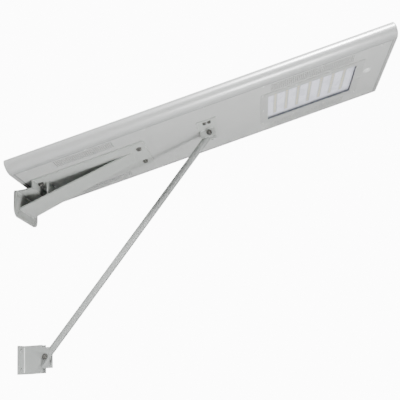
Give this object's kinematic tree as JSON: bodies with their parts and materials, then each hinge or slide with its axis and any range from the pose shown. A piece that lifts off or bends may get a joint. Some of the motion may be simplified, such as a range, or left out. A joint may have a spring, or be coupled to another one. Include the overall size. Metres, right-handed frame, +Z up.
{
  "type": "solar street lamp",
  "caption": "All-in-one solar street lamp: flat housing with solar panel, light window, wedge arm with pole flange, and a pivoted strut with a pole shoe.",
  "frame": {"origin": "centre of the arm flange's back face, where it stands against the pole or wall", "axes": "+X away from the pole, +Y across the lamp, +Z up; the housing rises 15 degrees from +X"},
  "size_m": [1.0825, 0.401, 0.8442],
  "materials": {
    "rail_anodised": "satin",
    "sheet_paint": "matte",
    "arm_paint": "satin",
    "zinc_steel": "satin",
    "spacer_nylon": "matte",
    "clear_glass": "gloss",
    "gasket_rubber": "matte",
    "emitter_phosphor": "gloss",
    "reflector_white": "gloss",
    "circuit_board": "matte",
    "sink_aluminium": "satin",
    "cell_blue": "gloss",
    "backsheet_white": "matte",
    "black_plastic": "matte",
    "battery_sleeve": "gloss",
    "sensor_plastic": "satin",
    "filter_felt": "matte"
  },
  "bodies": {
    "lamp": {"arm_backing_strips": "zinc_steel", "arm_bolts": "zinc_steel", "arm_flange": "arm_paint", "arm_link_plate": "arm_paint", "arm_nuts": "zinc_steel", "arm_pad": "arm_paint", "arm_rib": "arm_paint", "arm_washers": "zinc_steel", "arm_web": "arm_paint", "battery_cells": "battery_sleeve", "battery_lead": "black_plastic", "battery_straps": "black_plastic", "battery_tray": "black_plastic", "bezel_screws": "zinc_steel", "bottom_sheet": "sheet_paint", "cap_screws_pole": "zinc_steel", "cap_screws_tip": "zinc_steel", "charge_controller": "black_plastic", "end_cap_pole": "rail_anodised", "end_cap_tip": "rail_anodised", "heat_sink": "sink_aluminium", "led_board": "circuit_board", "led_emitters": "emitter_phosphor", "led_lead": "black_plastic", "led_reflector": "reflector_white", "lug_backing_strip": "zinc_steel", "lug_base": "arm_paint", "lug_ear_far": "arm_paint", "lug_ear_near": "arm_paint", "lug_nuts": "zinc_steel", "lug_screws": "zinc_steel", "panel_backsheet": "backsheet_white", "panel_cells": "cell_blue", "panel_glass": "clear_glass", "panel_junction_box": "black_plastic", "panel_lead": "black_plastic", "sensor_body": "sensor_plastic", "sensor_lens": "sensor_plastic", "sheet_screws": "zinc_steel", "side_rail_far": "rail_anodised", "side_rail_near": "rail_anodised", "upper_pivot_bolt": "zinc_steel", "upper_pivot_nut": "zinc_steel", "upper_pivot_spacers": "spacer_nylon", "upper_pivot_washers": "zinc_steel", "vent_filters": "filter_felt", "window_bezel": "sheet_paint", "window_gasket": "gasket_rubber", "window_glass": "clear_glass"},
    "strut": {"strut_tube": "arm_paint", "strut_upper_end": "arm_paint", "strut_lower_end": "arm_paint"},
    "shoe": {"shoe_plate": "arm_paint", "shoe_ear_near": "arm_paint", "shoe_ear_far": "arm_paint", "lower_pivot_bolt": "zinc_steel", "lower_pivot_nut": "zinc_steel", "lower_pivot_washers": "zinc_steel", "lower_pivot_spacers": "spacer_nylon"}
  },
  "joints": [
    {"name": "strut_swing", "type": "hinge", "parent": "lamp", "child": "strut", "pos_m": [0.55334, 0, 0.17836], "axis": [0, -1, 0], "range_deg": [-26, 140]},
    {"name": "shoe_tilt", "type": "hinge", "parent": "strut", "child": "shoe", "pos_m": [0.0616, 0, -0.4205], "axis": [0, -1, 0], "range_deg": [-34, 135]}
  ]
}
